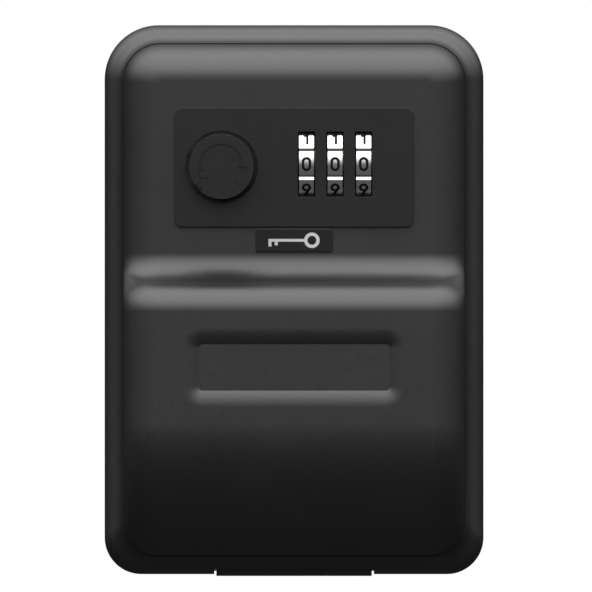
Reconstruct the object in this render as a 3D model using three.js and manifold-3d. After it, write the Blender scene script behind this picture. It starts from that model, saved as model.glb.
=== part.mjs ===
import * as THREE from 'three';
import Module from 'manifold-3d';

const wasm = await Module();
wasm.setup();
const { Manifold, Mesh } = wasm;

// ---------------------------------------------------------------- driving dimensions, mm
// +Z up, the front faces -Y, the wall face of the case lies in y = 0.
const DOOR_WIDTH = 98;
const DOOR_HEIGHT = 142;
const TOP_RADIUS = 14;
const BOTTOM_RADIUS = 9.5;
const SKIN = 2.4;
const DOOR_REAR = 22.4;

// Front of the door: a curled rim, a crease, then a dome with a step forward below the lock.
const RIM_RADIUS = 5.1;
const RIM_TURN = 58 * (Math.PI / 180);
const CREASE_INSET = 2 * RIM_RADIUS * (1 - Math.cos(RIM_TURN));
const CREASE_DEPTH = 32.7;
const EDGE_RADIUS = 9.5;
const FLAT_INSET = CREASE_INSET + EDGE_RADIUS;
const FLAT_RADIUS = 1.2;
const UPPER_DEPTH = 42.4;
const LEDGE_RADIUS = 7.5;
const LEDGE_TOP = 12;
const LEDGE_FOOT = LEDGE_TOP - 2 * LEDGE_RADIUS;
const BELLY_DEPTH = UPPER_DEPTH + 2 * LEDGE_RADIUS;
const BELLY_RADIUS = 42;
const BELLY_FOOT = -31.8;

// Shallow label field in the belly.
const LABEL = { z: -17.4, width: 49.1, height: 11.9, depth: 0.8, wall: 4.2 };

// Wall case.
const CASE_HALF_WIDTH = 48.2;
const CASE_TOP = 70.2;
const CASE_BOTTOM = -69.4;
const CASE_FRONT = 22;
const CASE_BACK = 3;
const CASE_WALL = 2.4;
const CASE_SILL = 3.2;
const MOUNT_HOLES = [[-30, 50], [30, 50], [-30, -50], [30, -50]];

// Hinge under the door.
const HINGE_Y = -22.6;
const HINGE_Z = -69.3;
const LUG_HALF = 20.1;
const LUG_RADIUS = 2.2;
const NOTCH_HALF = 20.65;
const KNUCKLE_RADIUS = 1.5;
const KNUCKLE_END = 26.5;
const PIN_RADIUS = 0.9;
const PIN_HALF = 26;

// Combination lock set into the upper face.
const LOCK_Z = 34.1;
const PLATE = { width: 61.5, height: 30.6, radius: 2, thickness: 1 };
const BODY = { halfWidth: 29, halfHeight: 14, wall: 1.6, front: 1.6, rear: 23.2 };
const BODY_FRONT = -UPPER_DEPTH;
const COVER_THICKNESS = 1.5;
const DIAL_X = [3.2, 10.56, 17.92];
const DIAL_Y = -34.9;
const DIAL_Z = 34.9;
const DIAL_RADIUS = 11.1;
const DIAL_LAND = 14.4;
const DIAL_GROOVE = 10.6;
const DIAL_WIDTH = 3.85;
const SLOT = { width: 4.4, height: 16.8 };
const SPINDLE_RADIUS = 2;
const DISC_RADIUS = 6.2;
const DISC_WIDTH = 1.45;
const DIVIDER = [-4.4, -2.8];
const KNOB = { x: -18.7, z: 34.2, radius: 8.35, face: -50.3, hole: 9.3 };
const NECK_RADIUS = 4.6;
const SHAFT_RADIUS = 3.5;
const CAM = { front: -19.9, thickness: 1.8, reach: 26, width: 9, square: 5 };
const RESET = { x: 24.6, z: 28, radius: 1.9, travel: 2 };
const RUN = 0.05;

const MATERIALS = {
  shell: new THREE.MeshStandardMaterial({ color: 0x2f2f31, roughness: 0.45 }),
  plate: new THREE.MeshStandardMaterial({ color: 0x242426, roughness: 0.5 }),
  badge: new THREE.MeshStandardMaterial({ color: 0x1c1c1e, roughness: 0.35 }),
  dial: new THREE.MeshStandardMaterial({ color: 0xb9bbbd, roughness: 0.3, metalness: 0.9 }),
  steel: new THREE.MeshStandardMaterial({ color: 0xa8abb0, roughness: 0.35, metalness: 1 }),
  zinc: new THREE.MeshStandardMaterial({ color: 0x8f9295, roughness: 0.5, metalness: 1 }),
  brass: new THREE.MeshStandardMaterial({ color: 0xc49b4b, roughness: 0.3, metalness: 1 }),
  rubber: new THREE.MeshStandardMaterial({ color: 0x161616, roughness: 0.9 }),
  red: new THREE.MeshStandardMaterial({ color: 0xa32a22, roughness: 0.5 }),
};

const assembly = new THREE.Group();
assembly.name = 'key_lock_box';

// ---------------------------------------------------------------- solids
function signedVolume(position, index) {
  const a = new THREE.Vector3();
  const b = new THREE.Vector3();
  const c = new THREE.Vector3();
  let total = 0;
  for (let i = 0; i < index.length; i += 3) {
    a.fromBufferAttribute(position, index[i]);
    b.fromBufferAttribute(position, index[i + 1]);
    c.fromBufferAttribute(position, index[i + 2]);
    total += a.dot(b.cross(c)) / 6;
  }
  return total;
}

function solidOf(geometry) {
  const position = geometry.getAttribute('position');
  const triVerts = geometry.index
    ? new Uint32Array(geometry.index.array)
    : Uint32Array.from({ length: position.count }, (_, i) => i);
  if (signedVolume(position, triVerts) < 0) {
    triVerts.reverse();
  }
  const vertProperties = new Float32Array(position.array);
  const mesh = new Mesh({ numProp: 3, vertProperties, triVerts });
  mesh.merge();
  return new Manifold(mesh);
}

function place(name, material, solid) {
  const { vertProperties, triVerts, numProp } = solid.getMesh();
  const positions = [];
  for (let i = 0; i < vertProperties.length; i += numProp) {
    positions.push(vertProperties[i], vertProperties[i + 1], vertProperties[i + 2]);
  }
  const geometry = new THREE.BufferGeometry();
  geometry.setAttribute('position', new THREE.Float32BufferAttribute(positions, 3));
  geometry.setIndex(Array.from(triVerts));
  geometry.computeVertexNormals();
  const mesh = new THREE.Mesh(geometry, material);
  mesh.name = name;
  assembly.add(mesh);
}

const join = (...parts) => Manifold.union(parts);

const cut = (solid, ...tools) => solid.subtract(Manifold.union(tools));

function block(x0, x1, y0, y1, z0, z1) {
  const geometry = new THREE.BoxGeometry(x1 - x0, y1 - y0, z1 - z0);
  geometry.translate((x0 + x1) / 2, (y0 + y1) / 2, (z0 + z1) / 2);
  return solidOf(geometry);
}

function rodX(radius, x0, x1, y, z, sides = 24) {
  const geometry = new THREE.CylinderGeometry(radius, radius, x1 - x0, sides);
  geometry.rotateZ(Math.PI / 2);
  geometry.translate((x0 + x1) / 2, y, z);
  return solidOf(geometry);
}

function rodY(radius, y0, y1, x, z, sides = 24) {
  const geometry = new THREE.CylinderGeometry(radius, radius, y1 - y0, sides);
  geometry.translate(x, (y0 + y1) / 2, z);
  return solidOf(geometry);
}

function rodZ(radius, z0, z1, x, y, sides = 16) {
  const geometry = new THREE.CylinderGeometry(radius, radius, z1 - z0, sides);
  geometry.rotateX(Math.PI / 2);
  geometry.translate(x, y, (z0 + z1) / 2);
  return solidOf(geometry);
}

// A flat outline in x and z, thickened from yBack towards the front.
function slab(shape, yBack, thickness, curveSegments = 6) {
  const geometry = new THREE.ExtrudeGeometry(shape, {
    depth: thickness,
    bevelEnabled: false,
    curveSegments,
  });
  geometry.rotateX(Math.PI / 2);
  geometry.translate(0, yBack, 0);
  return solidOf(geometry);
}

// A flat outline in y and z, thickened along x from x0.
function profileX(points, x0, width) {
  const outline = points.map(([y, z]) => new THREE.Vector2(y, z));
  const geometry = new THREE.ExtrudeGeometry(new THREE.Shape(outline), {
    depth: width,
    bevelEnabled: false,
  });
  geometry.rotateX(Math.PI / 2);
  geometry.rotateZ(Math.PI / 2);
  geometry.translate(x0, 0, 0);
  return solidOf(geometry);
}

function roundedOutline(x0, x1, z0, z1, lowRadius, highRadius = lowRadius) {
  const shape = new THREE.Shape();
  shape.absarc(x0 + lowRadius, z0 + lowRadius, lowRadius, Math.PI, Math.PI * 1.5);
  shape.absarc(x1 - lowRadius, z0 + lowRadius, lowRadius, Math.PI * 1.5, Math.PI * 2);
  shape.absarc(x1 - highRadius, z1 - highRadius, highRadius, 0, Math.PI / 2);
  shape.absarc(x0 + highRadius, z1 - highRadius, highRadius, Math.PI / 2, Math.PI);
  shape.closePath();
  return shape;
}

// Closed skin over a run of equal loops, capped by rows that join the left half of the first
// and last loop to the right half.
function loft(loops) {
  const count = loops[0].length;
  const positions = loops.flat(2);
  const index = [];
  const quad = (a, b, c, d) => index.push(a, b, c, a, c, d);
  for (let k = 0; k + 1 < loops.length; k += 1) {
    for (let i = 0; i < count; i += 1) {
      const j = (i + 1) % count;
      quad(k * count + i, k * count + j, (k + 1) * count + j, (k + 1) * count + i);
    }
  }
  const last = (loops.length - 1) * count;
  for (let i = 0; i + 1 < count / 2; i += 1) {
    const far = count - 1 - i;
    quad(i + 1, i, far, far - 1);
    quad(last + i, last + i + 1, last + far - 1, last + far);
  }
  const geometry = new THREE.BufferGeometry();
  geometry.setAttribute('position', new THREE.Float32BufferAttribute(positions, 3));
  geometry.setIndex(index);
  return solidOf(geometry);
}

// Turned part about an axis along y; the profile is a closed run of [radius, y] pairs.
function turnedY(profile, x, z, sides = 24) {
  const points = profile.map(([radius, y]) => new THREE.Vector2(radius, y));
  const geometry = new THREE.LatheGeometry(points, sides);
  geometry.translate(x, 0, z);
  return solidOf(geometry);
}

function ringY(inner, outer, y0, y1, x, z, sides = 24) {
  const profile = [[inner, y0], [outer, y0], [outer, y1], [inner, y1], [inner, y0]];
  return turnedY(profile, x, z, sides);
}

function ringX(inner, outer, x0, x1, y, z, sides = 24) {
  const profile = [[inner, x0], [outer, x0], [outer, x1], [inner, x1], [inner, x0]];
  const points = profile.map(([radius, x]) => new THREE.Vector2(radius, x));
  const geometry = new THREE.LatheGeometry(points, sides);
  geometry.rotateZ(-Math.PI / 2);
  geometry.translate(0, y, z);
  return solidOf(geometry);
}

// Compression spring wound about an axis along y.
function coil(radius, wire, y0, y1, turns, x, z) {
  const sections = turns * 9;
  const sides = 5;
  const positions = [];
  const index = [];
  for (let i = 0; i <= sections; i += 1) {
    const angle = (i / sections) * turns * 2 * Math.PI;
    const y = y0 + wire + ((y1 - y0 - 2 * wire) * i) / sections;
    for (let j = 0; j < sides; j += 1) {
      const around = (j / sides) * 2 * Math.PI;
      const out = radius + wire * Math.cos(around);
      const along = y + wire * Math.sin(around);
      positions.push(x + out * Math.cos(angle), along, z + out * Math.sin(angle));
    }
  }
  for (let i = 0; i < sections; i += 1) {
    for (let j = 0; j < sides; j += 1) {
      const k = (j + 1) % sides;
      const a = i * sides + j;
      const b = i * sides + k;
      index.push(a, b, b + sides, a, b + sides, a + sides);
    }
  }
  const last = sections * sides;
  for (let j = 1; j + 1 < sides; j += 1) {
    index.push(0, j + 1, j);
    index.push(last, last + j, last + j + 1);
  }
  const geometry = new THREE.BufferGeometry();
  geometry.setAttribute('position', new THREE.Float32BufferAttribute(positions, 3));
  geometry.setIndex(index);
  return geometry;
}

// Domed screw along y: head towards +y when side is 1, towards -y when side is -1.
function screwY(x, z, seat, side, head, shank, length) {
  const profile = [
    [0, seat - side * length],
    [shank, seat - side * length],
    [shank, seat],
    [head, seat],
    [head, seat + side * 0.5],
    [head * 0.7, seat + side * 1.1],
    [0, seat + side * 1.1],
  ];
  const low = Math.min(seat + side * 0.6, seat + side * 2.1);
  const slot = block(x - 0.25, x + 0.25, low, low + 1.5, z - head * 0.7, z + head * 0.7);
  return turnedY(profile, x, z, 12).subtract(slot);
}

// ---------------------------------------------------------------- wall case
const caseOutline = roundedOutline(
  -CASE_HALF_WIDTH,
  CASE_HALF_WIDTH,
  CASE_BOTTOM,
  CASE_TOP,
  BOTTOM_RADIUS - 0.8,
  TOP_RADIUS - 0.8,
);
const casePocket = roundedOutline(
  -CASE_HALF_WIDTH + CASE_WALL,
  CASE_HALF_WIDTH - CASE_WALL,
  CASE_BOTTOM + CASE_SILL,
  CASE_TOP - CASE_WALL,
  BOTTOM_RADIUS - 0.8 - CASE_WALL,
  TOP_RADIUS - 0.8 - CASE_WALL,
);

// The seal runs in a groove up one side wall, over the top and down the other.
function sealOutline(grow) {
  const outer = CASE_HALF_WIDTH - 0.75 + grow;
  const inner = CASE_HALF_WIDTH - 1.65 - grow;
  const top = CASE_TOP - 0.75 + grow;
  const low = -58 - grow;
  const outerRadius = TOP_RADIUS - 0.8 - 0.75 + grow;
  const innerRadius = TOP_RADIUS - 0.8 - 1.65 - grow;
  const shape = new THREE.Shape();
  shape.moveTo(-outer, low);
  shape.lineTo(-inner, low);
  shape.lineTo(-inner, top - outerRadius);
  shape.absarc(-outer + outerRadius, top - outerRadius, innerRadius, Math.PI, Math.PI / 2, true);
  shape.absarc(outer - outerRadius, top - outerRadius, innerRadius, Math.PI / 2, 0, true);
  shape.lineTo(inner, low);
  shape.lineTo(outer, low);
  shape.absarc(outer - outerRadius, top - outerRadius, outerRadius, 0, Math.PI / 2);
  shape.absarc(-outer + outerRadius, top - outerRadius, outerRadius, Math.PI / 2, Math.PI);
  shape.closePath();
  return shape;
}

const STRIKER = { x: KNOB.x, half: 10, lipFront: -21.9, lip: 1.5, lipFoot: 55, screws: [-6, 6] };
const CASE_INNER_TOP = CASE_TOP - CASE_WALL;
const HOOK_Z = 14;
const HOOK_X = [-27, -9, 9, 27];
const HOOK_SCREW_X = [-18, 18];

const caseTools = [
  slab(casePocket, -CASE_BACK, CASE_FRONT, 6),
  slab(sealOutline(0.02), -CASE_FRONT + 1, 2, 6),
  rodX(LUG_RADIUS + 0.3, -CASE_HALF_WIDTH - 1, CASE_HALF_WIDTH + 1, HINGE_Y, HINGE_Z, 32),
];
MOUNT_HOLES.forEach(([x, z]) => {
  caseTools.push(rodY(2.5, -CASE_BACK - 1, 1, x, z, 20));
});
HOOK_SCREW_X.forEach((x) => {
  caseTools.push(rodY(1.36, -CASE_BACK - 1, -CASE_BACK + 2.2, x, HOOK_Z, 16));
});
STRIKER.screws.forEach((dx) => {
  caseTools.push(rodZ(1.12, CASE_INNER_TOP - 1, CASE_INNER_TOP + 1.5, STRIKER.x + dx, -14));
});
const caseShell = cut(slab(caseOutline, 0, CASE_FRONT, 6), ...caseTools);
const hingeLug = join(
  rodX(LUG_RADIUS, -LUG_HALF, LUG_HALF, HINGE_Y, HINGE_Z, 32),
  block(-LUG_HALF, LUG_HALF, HINGE_Y, -19, CASE_BOTTOM, HINGE_Z + LUG_RADIUS),
);
place('back_case', MATERIALS.shell, cut(
  join(caseShell, hingeLug),
  rodX(PIN_RADIUS + 0.02, -LUG_HALF - 1, LUG_HALF + 1, HINGE_Y, HINGE_Z, 16),
));
place('hinge_pin', MATERIALS.steel, rodX(PIN_RADIUS, -PIN_HALF, PIN_HALF, HINGE_Y, HINGE_Z, 16));
place('seal_strip', MATERIALS.rubber, slab(sealOutline(0), -CASE_FRONT + 1, 1.3, 6));

const strikerLip = block(
  STRIKER.x - STRIKER.half,
  STRIKER.x + STRIKER.half,
  STRIKER.lipFront,
  STRIKER.lipFront + STRIKER.lip,
  STRIKER.lipFoot,
  CASE_INNER_TOP,
);
const strikerFlange = block(
  STRIKER.x - STRIKER.half,
  STRIKER.x + STRIKER.half,
  STRIKER.lipFront,
  -9,
  CASE_INNER_TOP - 1.5,
  CASE_INNER_TOP,
);
const strikerHoles = STRIKER.screws.map((dx) => (
  rodZ(1.15, CASE_INNER_TOP - 3, CASE_INNER_TOP + 1, STRIKER.x + dx, -14)
));
place('striker_plate', MATERIALS.steel, cut(join(strikerLip, strikerFlange), ...strikerHoles));

// Screws that hold the striker stand upright, heads down.
function screwUp(x, y, seat, head, shank, length) {
  return join(
    rodZ(shank, seat - 0.2, seat + length, x, y, 16),
    rodZ(head, seat - 1.1, seat, x, y, 16),
  ).subtract(block(x - head * 0.7, x + head * 0.7, y - 0.25, y + 0.25, seat - 2, seat - 0.6));
}
STRIKER.screws.forEach((dx, i) => {
  const screw = screwUp(STRIKER.x + dx, -14, CASE_INNER_TOP - 1.5, 2.1, 1.1, 2.7);
  place(`striker_screw_${i + 1}`, MATERIALS.steel, screw);
});

// Key hooks: a flat strip with four upturned hooks.
const hookProfile = [
  [-CASE_BACK - 1, HOOK_Z + 0.8],
  [-CASE_BACK - 9.2, HOOK_Z + 0.8],
  [-CASE_BACK - 9.2, HOOK_Z + 5.2],
  [-CASE_BACK - 10.8, HOOK_Z + 5.2],
  [-CASE_BACK - 10.8, HOOK_Z],
  [-CASE_BACK - 10.0, HOOK_Z - 0.8],
  [-CASE_BACK - 1, HOOK_Z - 0.8],
];
const strip = slab(roundedOutline(-35, 35, HOOK_Z - 6, HOOK_Z + 6, 2), -CASE_BACK, 1.2, 4);
const hooks = HOOK_X.map((x) => profileX(hookProfile, x - 1.5, 3));
const stripHoles = HOOK_SCREW_X.map((x) => rodY(1.35, -CASE_BACK - 3, 0, x, HOOK_Z, 16));
place('hook_strip', MATERIALS.steel, cut(join(strip, ...hooks), ...stripHoles));
HOOK_SCREW_X.forEach((x, i) => {
  place(`hook_screw_${i + 1}`, MATERIALS.steel, screwY(x, HOOK_Z, -CASE_BACK - 1.2, -1, 2.6, 1.3, 3.2));
});

// ---------------------------------------------------------------- door shell
const CORNER_STEPS = 4;
const EDGE_STEPS = 4;
const RIM_STEPS = 2;
const LEDGE_STEPS = 4;

const lowCorner = (inset) => (
  inset < CREASE_INSET
    ? BOTTOM_RADIUS - (0.4 * inset) / CREASE_INSET
    : THREE.MathUtils.mapLinear(inset, CREASE_INSET, FLAT_INSET, BOTTOM_RADIUS - 0.4, FLAT_RADIUS)
);
const highCorner = (inset) => (
  THREE.MathUtils.mapLinear(inset, 0, FLAT_INSET, TOP_RADIUS, FLAT_RADIUS)
);

// How far the front stands off the wall at height z, on the face (skin 0) or behind it.
function frontDepth(z, skin) {
  const middle = UPPER_DEPTH + LEDGE_RADIUS;
  if (z >= LEDGE_TOP) {
    return UPPER_DEPTH - skin;
  }
  if (z >= LEDGE_TOP - LEDGE_RADIUS - skin) {
    return middle - Math.sqrt((LEDGE_RADIUS + skin) ** 2 - (LEDGE_TOP - z) ** 2);
  }
  if (z >= LEDGE_FOOT) {
    return middle + Math.sqrt(Math.max(0, (LEDGE_RADIUS - skin) ** 2 - (z - LEDGE_FOOT) ** 2));
  }
  if (z >= BELLY_FOOT) {
    return BELLY_DEPTH - skin;
  }
  const centre = BELLY_DEPTH - BELLY_RADIUS;
  return centre + Math.sqrt((BELLY_RADIUS - skin) ** 2 - (z - BELLY_FOOT) ** 2);
}

function sideRows(skin) {
  const rows = [-50, -44, -38, BELLY_FOOT, LEDGE_FOOT];
  for (let i = 1; i < LEDGE_STEPS; i += 1) {
    const angle = (1 - i / LEDGE_STEPS) * (Math.PI / 2);
    rows.push(LEDGE_FOOT + (LEDGE_RADIUS - skin) * Math.cos(angle));
  }
  rows.push(LEDGE_TOP - LEDGE_RADIUS - skin);
  for (let i = 1; i <= LEDGE_STEPS; i += 1) {
    const angle = (1 - i / LEDGE_STEPS) * (Math.PI / 2);
    rows.push(LEDGE_TOP - (LEDGE_RADIUS + skin) * Math.sin(angle));
  }
  return rows.concat([30, 50]);
}

// One closed loop round the door at an inset; depthAt gives its distance from the wall.
function doorLoop(inset, skin, depthAt) {
  const halfWidth = DOOR_WIDTH / 2 - inset;
  const halfHeight = DOOR_HEIGHT / 2 - inset;
  const low = lowCorner(inset);
  const high = highCorner(inset);
  const left = [];
  for (let i = 0; i <= CORNER_STEPS; i += 1) {
    const angle = (i / CORNER_STEPS) * (Math.PI / 2);
    const z = -halfHeight + low - low * Math.cos(angle);
    left.push([-halfWidth + low - low * Math.sin(angle), -depthAt(z), z]);
  }
  sideRows(skin).forEach((z) => {
    left.push([-halfWidth, -depthAt(z), z]);
  });
  for (let i = 0; i <= CORNER_STEPS; i += 1) {
    const angle = (i / CORNER_STEPS) * (Math.PI / 2);
    const z = halfHeight - high + high * Math.sin(angle);
    left.push([-halfWidth + high - high * Math.cos(angle), -depthAt(z), z]);
  }
  const right = left.map(([x, y, z]) => [-x, y, z]).reverse();
  return left.concat(right);
}

function edgeLoop(turn, skin) {
  const radius = EDGE_RADIUS - skin;
  return doorLoop(FLAT_INSET - radius * Math.sin(turn), skin, (z) => {
    const depth = frontDepth(z, skin);
    return depth - Math.min(radius, depth - CREASE_DEPTH - 0.2) * (1 - Math.cos(turn));
  });
}

function doorSkin(skin) {
  const loops = [];
  for (let i = 0; i <= EDGE_STEPS; i += 1) {
    loops.push(edgeLoop((i / EDGE_STEPS) * (Math.PI / 2), skin));
  }
  const outer = RIM_RADIUS + skin;
  const inner = RIM_RADIUS - skin;
  for (let i = 0; i <= RIM_STEPS; i += 1) {
    const turn = (i / RIM_STEPS) * RIM_TURN;
    const inset = CREASE_INSET - RIM_RADIUS + outer * Math.cos(turn);
    loops.push(doorLoop(inset, skin, () => CREASE_DEPTH - outer * Math.sin(turn)));
  }
  const rimFoot = CREASE_DEPTH - 2 * RIM_RADIUS * Math.sin(RIM_TURN);
  for (let i = RIM_STEPS - 1; i >= 0; i -= 1) {
    const turn = (i / RIM_STEPS) * RIM_TURN;
    const inset = RIM_RADIUS - inner * Math.cos(turn);
    loops.push(doorLoop(inset, skin, () => rimFoot + inner * Math.sin(turn)));
  }
  loops.push(doorLoop(skin, skin, () => DOOR_REAR));
  return loops;
}

const doorBlank = loft([...doorSkin(0), ...doorSkin(SKIN).reverse()]);

// Label field: a level floor whose walls roll outwards to the belly.
function labelLoop(grow, depth) {
  const halfWidth = LABEL.width / 2 + grow;
  const halfHeight = LABEL.height / 2 + grow;
  const radius = 1 + grow;
  const left = [];
  for (let i = 0; i <= 4; i += 1) {
    const angle = (i / 4) * (Math.PI / 2);
    const x = -halfWidth + radius - radius * Math.sin(angle);
    left.push([x, -depth, LABEL.z - halfHeight + radius - radius * Math.cos(angle)]);
  }
  for (let i = 0; i <= 4; i += 1) {
    const angle = (i / 4) * (Math.PI / 2);
    const x = -halfWidth + radius - radius * Math.cos(angle);
    left.push([x, -depth, LABEL.z + halfHeight - radius + radius * Math.sin(angle)]);
  }
  return left.concat(left.map(([x, y, z]) => [-x, y, z]).reverse());
}

const labelField = loft([
  labelLoop(0, BELLY_DEPTH - LABEL.depth),
  labelLoop(LABEL.wall * 0.4, BELLY_DEPTH - LABEL.depth * 0.35),
  labelLoop(LABEL.wall * 1.1, BELLY_DEPTH + LABEL.depth * 0.2),
  labelLoop(LABEL.wall * 1.1, BELLY_DEPTH + 2),
]);

const knuckles = [-1, 1].map((side) => (
  rodX(
    KNUCKLE_RADIUS,
    Math.min(side * NOTCH_HALF, side * KNUCKLE_END),
    Math.max(side * NOTCH_HALF, side * KNUCKLE_END),
    HINGE_Y,
    HINGE_Z,
    16,
  )
));
const doorNotch = [
  block(-NOTCH_HALF, NOTCH_HALF, -50, -20, -75, HINGE_Z - 0.2),
  rodX(LUG_RADIUS + 0.4, -NOTCH_HALF, NOTCH_HALF, HINGE_Y, HINGE_Z, 32),
];
const lockOpening = slab(
  roundedOutline(
    -BODY.halfWidth - 0.3,
    BODY.halfWidth + 0.3,
    LOCK_Z - BODY.halfHeight - 0.3,
    LOCK_Z + BODY.halfHeight + 0.3,
    1,
  ),
  -UPPER_DEPTH + SKIN + 1,
  SKIN + 2,
  3,
);
const LOCK_SCREW_X = [-32, 32];
const skinHoles = LOCK_SCREW_X.map((x) => (
  rodY(1.02, -UPPER_DEPTH + 0.6, -UPPER_DEPTH + SKIN + 1, x, LOCK_Z, 16)
));
place('door_shell', MATERIALS.shell, cut(
  join(doorBlank.subtract(join(...doorNotch)), ...knuckles),
  rodX(PIN_RADIUS + RUN, -PIN_HALF - 0.1, PIN_HALF + 0.1, HINGE_Y, HINGE_Z, 16),
  labelField,
  lockOpening,
  ...skinHoles,
));

place('name_badge', MATERIALS.badge, slab(
  roundedOutline(-9.9, 9.9, 15.3 - 2.95, 15.3 + 2.95, 0.8),
  -UPPER_DEPTH,
  0.6,
  3,
));

// ---------------------------------------------------------------- combination lock
const slotShape = (x) => roundedOutline(
  x - SLOT.width / 2,
  x + SLOT.width / 2,
  DIAL_Z - SLOT.height / 2,
  DIAL_Z + SLOT.height / 2,
  0.4,
);
const plateOutline = roundedOutline(
  -PLATE.width / 2,
  PLATE.width / 2,
  LOCK_Z - PLATE.height / 2,
  LOCK_Z + PLATE.height / 2,
  PLATE.radius,
);
place('lock_face_plate', MATERIALS.plate, cut(
  slab(plateOutline, BODY_FRONT, PLATE.thickness, 4),
  rodY(KNOB.hole, BODY_FRONT - 3, BODY_FRONT + 1, KNOB.x, KNOB.z, 40),
  ...DIAL_X.map((x) => slab(slotShape(x), BODY_FRONT + 1, 4, 2)),
));

const COVER_SCREWS = [[-26.2, -11.2], [26.2, -11.2], [26.2, 11.2], [-26.2, 11.2]];
const bodyRear = -BODY.rear;
const bodyInside = [
  block(
    -BODY.halfWidth + BODY.wall,
    DIVIDER[0],
    BODY_FRONT + BODY.front,
    bodyRear + 1,
    LOCK_Z - BODY.halfHeight + BODY.wall,
    LOCK_Z + BODY.halfHeight - BODY.wall,
  ),
  block(
    DIVIDER[1],
    BODY.halfWidth - BODY.wall,
    BODY_FRONT + BODY.front,
    bodyRear + 1,
    LOCK_Z - BODY.halfHeight + BODY.wall,
    LOCK_Z + BODY.halfHeight - BODY.wall,
  ),
];
const bodyShell = slab(
  roundedOutline(
    -BODY.halfWidth,
    BODY.halfWidth,
    LOCK_Z - BODY.halfHeight,
    LOCK_Z + BODY.halfHeight,
    0.8,
  ),
  bodyRear,
  UPPER_DEPTH - BODY.rear,
  3,
).subtract(join(...bodyInside));
const bodyBosses = COVER_SCREWS.map(([x, dz]) => rodY(2.2, BODY_FRONT + 1, bodyRear, x, LOCK_Z + dz, 16));
const ears = LOCK_SCREW_X.map((x) => block(
  x < 0 ? x - 2.6 : BODY.halfWidth - 0.5,
  x < 0 ? -BODY.halfWidth + 0.5 : x + 2.6,
  -UPPER_DEPTH + SKIN,
  -UPPER_DEPTH + SKIN + 2,
  LOCK_Z - 4,
  LOCK_Z + 4,
));
const resetPillar = rodY(2.1, BODY_FRONT + 1, -31.2, RESET.x, RESET.z, 20);
const FENCE = { y0: -40.4, y1: -38.4, z0: 21.76, z1: 23.6 };
const bodyTools = [
  rodY(KNOB.hole, BODY_FRONT - 1, BODY_FRONT + 0.9, KNOB.x, KNOB.z, 40),
  rodY(NECK_RADIUS + RUN, BODY_FRONT - 1, BODY_FRONT + 4, KNOB.x, KNOB.z, 32),
  block(0.85, 23.6, BODY_FRONT - 1, BODY_FRONT + 3, DIAL_Z - 9.7, DIAL_Z + 9.7),
  ...COVER_SCREWS.map(([x, dz]) => rodY(1, bodyRear - 6.5, bodyRear + 1, x, LOCK_Z + dz, 12)),
  ...LOCK_SCREW_X.map((x) => rodY(1.25, -UPPER_DEPTH + SKIN - 1, -UPPER_DEPTH + SKIN + 3, x, LOCK_Z, 16)),
  rodX(SPINDLE_RADIUS + 0.02, DIVIDER[0] - 1, DIVIDER[1] + 1, DIAL_Y, DIAL_Z, 24),
  rodX(SPINDLE_RADIUS + 0.02, BODY.halfWidth - BODY.wall - 1, BODY.halfWidth - 0.8, DIAL_Y, DIAL_Z, 24),
  block(DIVIDER[0] - 1, DIVIDER[1] + 1, FENCE.y0 - 0.3, FENCE.y1 + 0.3, FENCE.z0 - 0.03, FENCE.z1 + 0.3),
];
place('lock_body', MATERIALS.plate, cut(join(bodyShell, ...bodyBosses, ...ears, resetPillar), ...bodyTools));

LOCK_SCREW_X.forEach((x, i) => {
  const seat = -UPPER_DEPTH + SKIN + 2;
  place(`lock_screw_${i + 1}`, MATERIALS.steel, screwY(x, LOCK_Z, seat, 1, 2.1, 1, 3.7));
});

// Number wheels: ten curved lands parted by V grooves at the rim.
function wheelOutline() {
  const corners = [
    [-DIAL_LAND, DIAL_RADIUS],
    [0, DIAL_RADIUS],
    [DIAL_LAND, DIAL_RADIUS],
    [18, DIAL_GROOVE],
  ];
  const outline = [];
  for (let land = 0; land < 10; land += 1) {
    corners.forEach(([turn, radius]) => {
      const angle = THREE.MathUtils.degToRad(land * 36 + turn);
      outline.push([DIAL_Y - radius * Math.cos(angle), DIAL_Z + radius * Math.sin(angle)]);
    });
  }
  return outline;
}

DIAL_X.forEach((x, i) => {
  const bore = rodX(SPINDLE_RADIUS + RUN, x - 10, x + 10, DIAL_Y, DIAL_Z, 24);
  const wheel = profileX(wheelOutline(), x - DIAL_WIDTH / 2, DIAL_WIDTH);
  place(`number_wheel_${i + 1}`, MATERIALS.dial, wheel.subtract(bore));
  const discStart = x + DIAL_WIDTH / 2;
  const gate = block(x, x + 8, DIAL_Y - 1.2, DIAL_Y + 1.2, DIAL_Z - 12, DIAL_Z - DISC_RADIUS + 2);
  const disc = join(
    rodX(DISC_RADIUS, discStart, discStart + DISC_WIDTH, DIAL_Y, DIAL_Z, 24),
    rodX(3.4, discStart, discStart + 3.46, DIAL_Y, DIAL_Z, 16),
  );
  place(`code_disc_${i + 1}`, MATERIALS.brass, cut(disc, gate, bore));
});

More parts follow.
